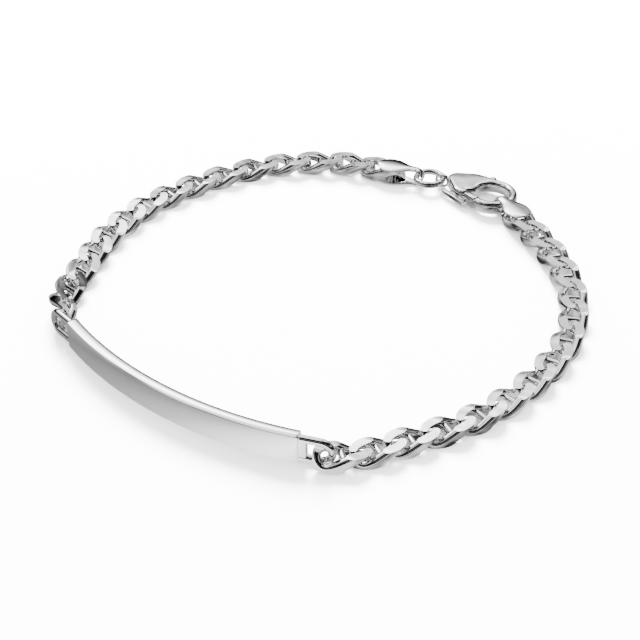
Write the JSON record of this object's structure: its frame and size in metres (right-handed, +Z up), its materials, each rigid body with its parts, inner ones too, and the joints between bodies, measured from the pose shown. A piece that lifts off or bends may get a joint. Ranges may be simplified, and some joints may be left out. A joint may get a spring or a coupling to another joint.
{
  "type": "id bracelet",
  "caption": "A lady's ID bracelet: a curved plain plate standing on its edge, joined by studded curb chain to a closed lobster clasp, laid out as a ring.",
  "frame": {"origin": "On the table, at the bottom centre of the laid bracelet's box.", "axes": "+Z up from the table, +Y from the plate's side towards the clasp, +X to the right as seen over the plate."},
  "size_m": [0.0658, 0.0665, 0.0037],
  "materials": {
    "silver": "mirror polished sterling silver"
  },
  "bodies": {
    "root": {"plate": "silver", "link_a01": "silver", "link_a02": "silver", "link_a03": "silver", "link_a04": "silver", "link_a05": "silver", "link_a06": "silver", "link_a07": "silver", "link_a08": "silver", "link_a09": "silver", "link_a10": "silver", "link_a11": "silver", "link_a12": "silver", "link_a13": "silver", "link_a14": "silver", "link_a15": "silver", "link_b01": "silver", "link_b02": "silver", "link_b03": "silver", "link_b04": "silver", "link_b05": "silver", "link_b06": "silver", "link_b07": "silver", "link_b08": "silver", "link_b09": "silver", "link_b10": "silver", "link_b11": "silver", "link_b12": "silver", "link_b13": "silver", "link_b14": "silver", "link_b15": "silver", "end_cap_a": "silver", "end_cap_b": "silver", "jump_ring": "silver", "clasp_body": "silver", "clasp_pin": "silver"},
    "lever": {"clasp_lever": "silver"}
  },
  "joints": [
    {"name": "lever_hinge", "type": "hinge", "parent": "root", "child": "lever", "pos_m": [0.01933, 0.02243, 0.00125], "axis": [0, 0, 1], "range_deg": [0, 24], "stiffness_Nm_per_rad": 0.002, "springref_deg": -11.46}
  ]
}
